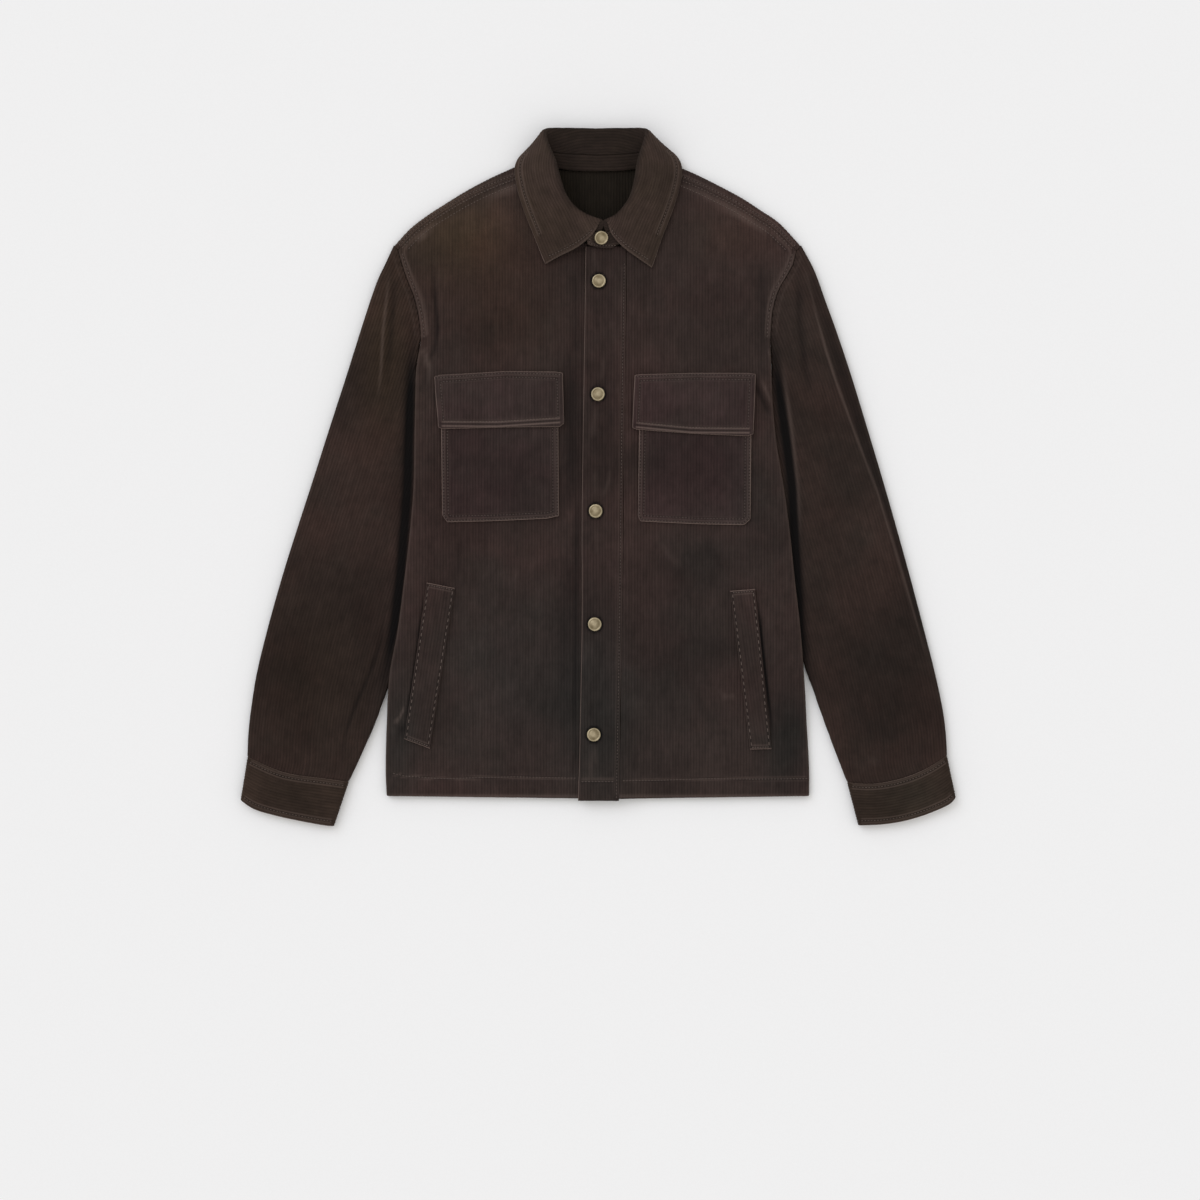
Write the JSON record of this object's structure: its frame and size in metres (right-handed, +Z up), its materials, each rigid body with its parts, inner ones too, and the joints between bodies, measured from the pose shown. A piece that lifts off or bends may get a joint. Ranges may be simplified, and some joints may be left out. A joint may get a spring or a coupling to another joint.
{
  "type": "corduroy jacket",
  "caption": "Corduroy jacket with a turned-down collar, chest patch pockets with flaps, slanted welts and a snapped placket, laid flat on its back.",
  "frame": {"origin": "middle of the base of the whole jacket's box, on the surface that it lies on", "axes": "+X to the wearer's left, +Y from the hem towards the collar, +Z up, out of the jacket's front"},
  "size_m": [0.7786, 0.7576, 0.0374],
  "materials": {
    "corduroy_body": "dark brown eight-wale cotton corduroy, soft cut pile",
    "corduroy_sleeve": "dark brown eight-wale cotton corduroy, soft cut pile",
    "corduroy_pocket": "dark brown eight-wale cotton corduroy, edges rubbed paler",
    "corduroy_collar": "dark brown eight-wale cotton corduroy, edges rubbed paler",
    "aged_brass": "dull aged brass"
  },
  "bodies": {
    "root": {"back": "corduroy_body", "front_right": "corduroy_body", "front_left": "corduroy_body", "placket": "corduroy_body", "yoke_right": "corduroy_body", "yoke_left": "corduroy_body", "sleeve_right": "corduroy_sleeve", "sleeve_left": "corduroy_sleeve", "cuff_right": "corduroy_sleeve", "cuff_left": "corduroy_sleeve", "chest_pocket_right": "corduroy_pocket", "chest_pocket_left": "corduroy_pocket", "chest_flap_right": "corduroy_pocket", "chest_flap_left": "corduroy_pocket", "hip_welt_right": "corduroy_pocket", "hip_welt_left": "corduroy_pocket", "collar_leaf": "corduroy_collar", "collar_stand": "corduroy_collar", "snap_1": "aged_brass", "snap_2": "aged_brass", "snap_3": "aged_brass", "snap_4": "aged_brass", "snap_5": "aged_brass", "snap_6": "aged_brass"}
  },
  "joints": []
}
